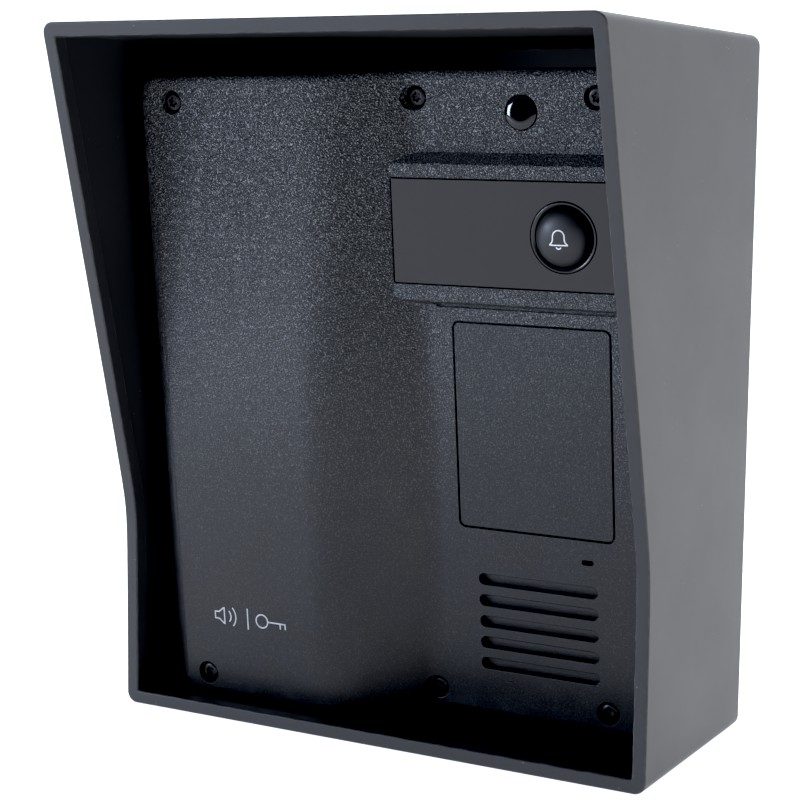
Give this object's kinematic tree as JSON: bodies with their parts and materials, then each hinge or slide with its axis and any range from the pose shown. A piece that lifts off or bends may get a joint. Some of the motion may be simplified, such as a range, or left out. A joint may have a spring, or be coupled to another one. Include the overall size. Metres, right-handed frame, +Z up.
{
  "type": "door intercom panel",
  "caption": "Wall-mounted door intercom station with a call button, speaker slots and a blank cover plate, set inside a deep open-fronted weather hood.",
  "frame": {"origin": "centre of the flat back of the weather hood, on the wall plane", "axes": "+Z up along the hood's height, -Y out of the wall towards the visitor, +X to the right as seen from the front; +Y points into the wall"},
  "size_m": [0.175, 0.1147, 0.209],
  "materials": {
    "aerial": "black sleeve over a wire aerial",
    "battery_cell_1": "plain dark sleeve",
    "battery_cell_2": "plain dark sleeve",
    "battery_cell_3": "plain dark sleeve",
    "battery_contact_minus": "nickel-plated spring wire",
    "battery_contact_plus": "bright plated steel",
    "battery_lead": "red insulated lead",
    "battery_tray": "black moulded plastic",
    "board_screw_1": "zinc-plated steel",
    "board_screw_2": "zinc-plated steel",
    "board_screw_3": "zinc-plated steel",
    "board_screw_4": "zinc-plated steel",
    "button_bezel": "satin black",
    "button_cap": "satin dark grey",
    "button_spring": "nickel-plated spring wire",
    "cable_grommet": "matte black rubber",
    "capacitor": "black sleeve",
    "face_screw_1": "blackened steel",
    "face_screw_2": "blackened steel",
    "face_screw_3": "blackened steel",
    "face_screw_4": "blackened steel",
    "face_screw_5": "blackened steel",
    "face_screw_6": "blackened steel",
    "face_shell": "spark-eroded grain, black",
    "gate_relay": "blue nylon",
    "hood_shell": "smooth matte moulded plastic, dark grey",
    "housing_gasket": "matte black rubber",
    "housing_screw_1": "zinc-plated steel",
    "housing_screw_2": "zinc-plated steel",
    "housing_screw_3": "zinc-plated steel",
    "housing_screw_4": "zinc-plated steel",
    "keypad_blank": "spark-eroded grain, black",
    "label_window": "smoked gloss acrylic",
    "main_board": "green solder mask on glass laminate",
    "mic_boot": "matte black rubber",
    "mic_capsule": "bright plated steel",
    "name_card": "plain dark card",
    "pairing_switch_body": "black nylon",
    "pairing_switch_plunger": "black nylon",
    "radio_module": "bright plated steel",
    "rear_housing": "matte moulded plastic, black",
    "speaker_basket": "black pressed steel",
    "speaker_cone": "treated paper",
    "speaker_lead": "red insulated lead",
    "speaker_magnet": "bright plated steel",
    "speaker_screen": "grained acoustic screen, black",
    "status_led": "clear epoxy",
    "status_lens": "polished black lens",
    "tact_switch_body": "black nylon",
    "tact_switch_plunger": "black nylon",
    "terminal_block": "green nylon",
    "tray_screw_1": "zinc-plated steel",
    "tray_screw_2": "zinc-plated steel",
    "volume_trimmer_body": "blue nylon",
    "volume_trimmer_rotor": "white nylon"
  },
  "bodies": {
    "station": {"aerial": "aerial", "battery_cell_1": "battery_cell_1", "battery_cell_2": "battery_cell_2", "battery_cell_3": "battery_cell_3", "battery_contact_minus": "battery_contact_minus", "battery_contact_plus": "battery_contact_plus", "battery_lead": "battery_lead", "battery_tray": "battery_tray", "board_screw_1": "board_screw_1", "board_screw_2": "board_screw_2", "board_screw_3": "board_screw_3", "board_screw_4": "board_screw_4", "button_bezel": "button_bezel", "button_spring": "button_spring", "cable_grommet": "cable_grommet", "capacitor": "capacitor", "face_screw_1": "face_screw_1", "face_screw_2": "face_screw_2", "face_screw_3": "face_screw_3", "face_screw_4": "face_screw_4", "face_screw_5": "face_screw_5", "face_screw_6": "face_screw_6", "face_shell": "face_shell", "gate_relay": "gate_relay", "hood_shell": "hood_shell", "housing_gasket": "housing_gasket", "housing_screw_1": "housing_screw_1", "housing_screw_2": "housing_screw_2", "housing_screw_3": "housing_screw_3", "housing_screw_4": "housing_screw_4", "keypad_blank": "keypad_blank", "label_window": "label_window", "main_board": "main_board", "mic_boot": "mic_boot", "mic_capsule": "mic_capsule", "name_card": "name_card", "pairing_switch_body": "pairing_switch_body", "radio_module": "radio_module", "rear_housing": "rear_housing", "speaker_basket": "speaker_basket", "speaker_cone": "speaker_cone", "speaker_lead": "speaker_lead", "speaker_magnet": "speaker_magnet", "speaker_screen": "speaker_screen", "status_led": "status_led", "status_lens": "status_lens", "tact_switch_body": "tact_switch_body", "terminal_block": "terminal_block", "tray_screw_1": "tray_screw_1", "tray_screw_2": "tray_screw_2", "volume_trimmer_body": "volume_trimmer_body"},
    "call_button": {"button_cap": "button_cap"},
    "tact_plunger": {"tact_switch_plunger": "tact_switch_plunger"},
    "pairing_button": {"pairing_switch_plunger": "pairing_switch_plunger"},
    "volume_rotor": {"volume_trimmer_rotor": "volume_trimmer_rotor"}
  },
  "joints": [
    {"name": "call_button_press", "type": "slide", "parent": "station", "child": "call_button", "axis": [0, 0.9939, 0.1103], "range_m": [0, 0.0012], "stiffness_N_per_m": 300, "springref_m": -0.002, "deforming": ["button_spring"]},
    {"name": "tact_switch_press", "type": "slide", "parent": "station", "child": "tact_plunger", "axis": [0, 0.9939, 0.1103], "range_m": [0, 0.00025]},
    {"name": "pairing_button_press", "type": "slide", "parent": "station", "child": "pairing_button", "axis": [0, -0.9939, -0.1103], "range_m": [0, 0.00025], "stiffness_N_per_m": 2000, "springref_m": -0.0003},
    {"name": "volume_trimmer_turn", "type": "hinge", "parent": "station", "child": "volume_rotor", "pos_m": [0.024, -0.04294, 0.01383], "axis": [0, 0.9939, 0.1103], "range_deg": [-135, 135]}
  ],
  "couplings": [
    {"joint": "tact_switch_press", "follows": "call_button_press", "ratio": 0.2083}
  ]
}
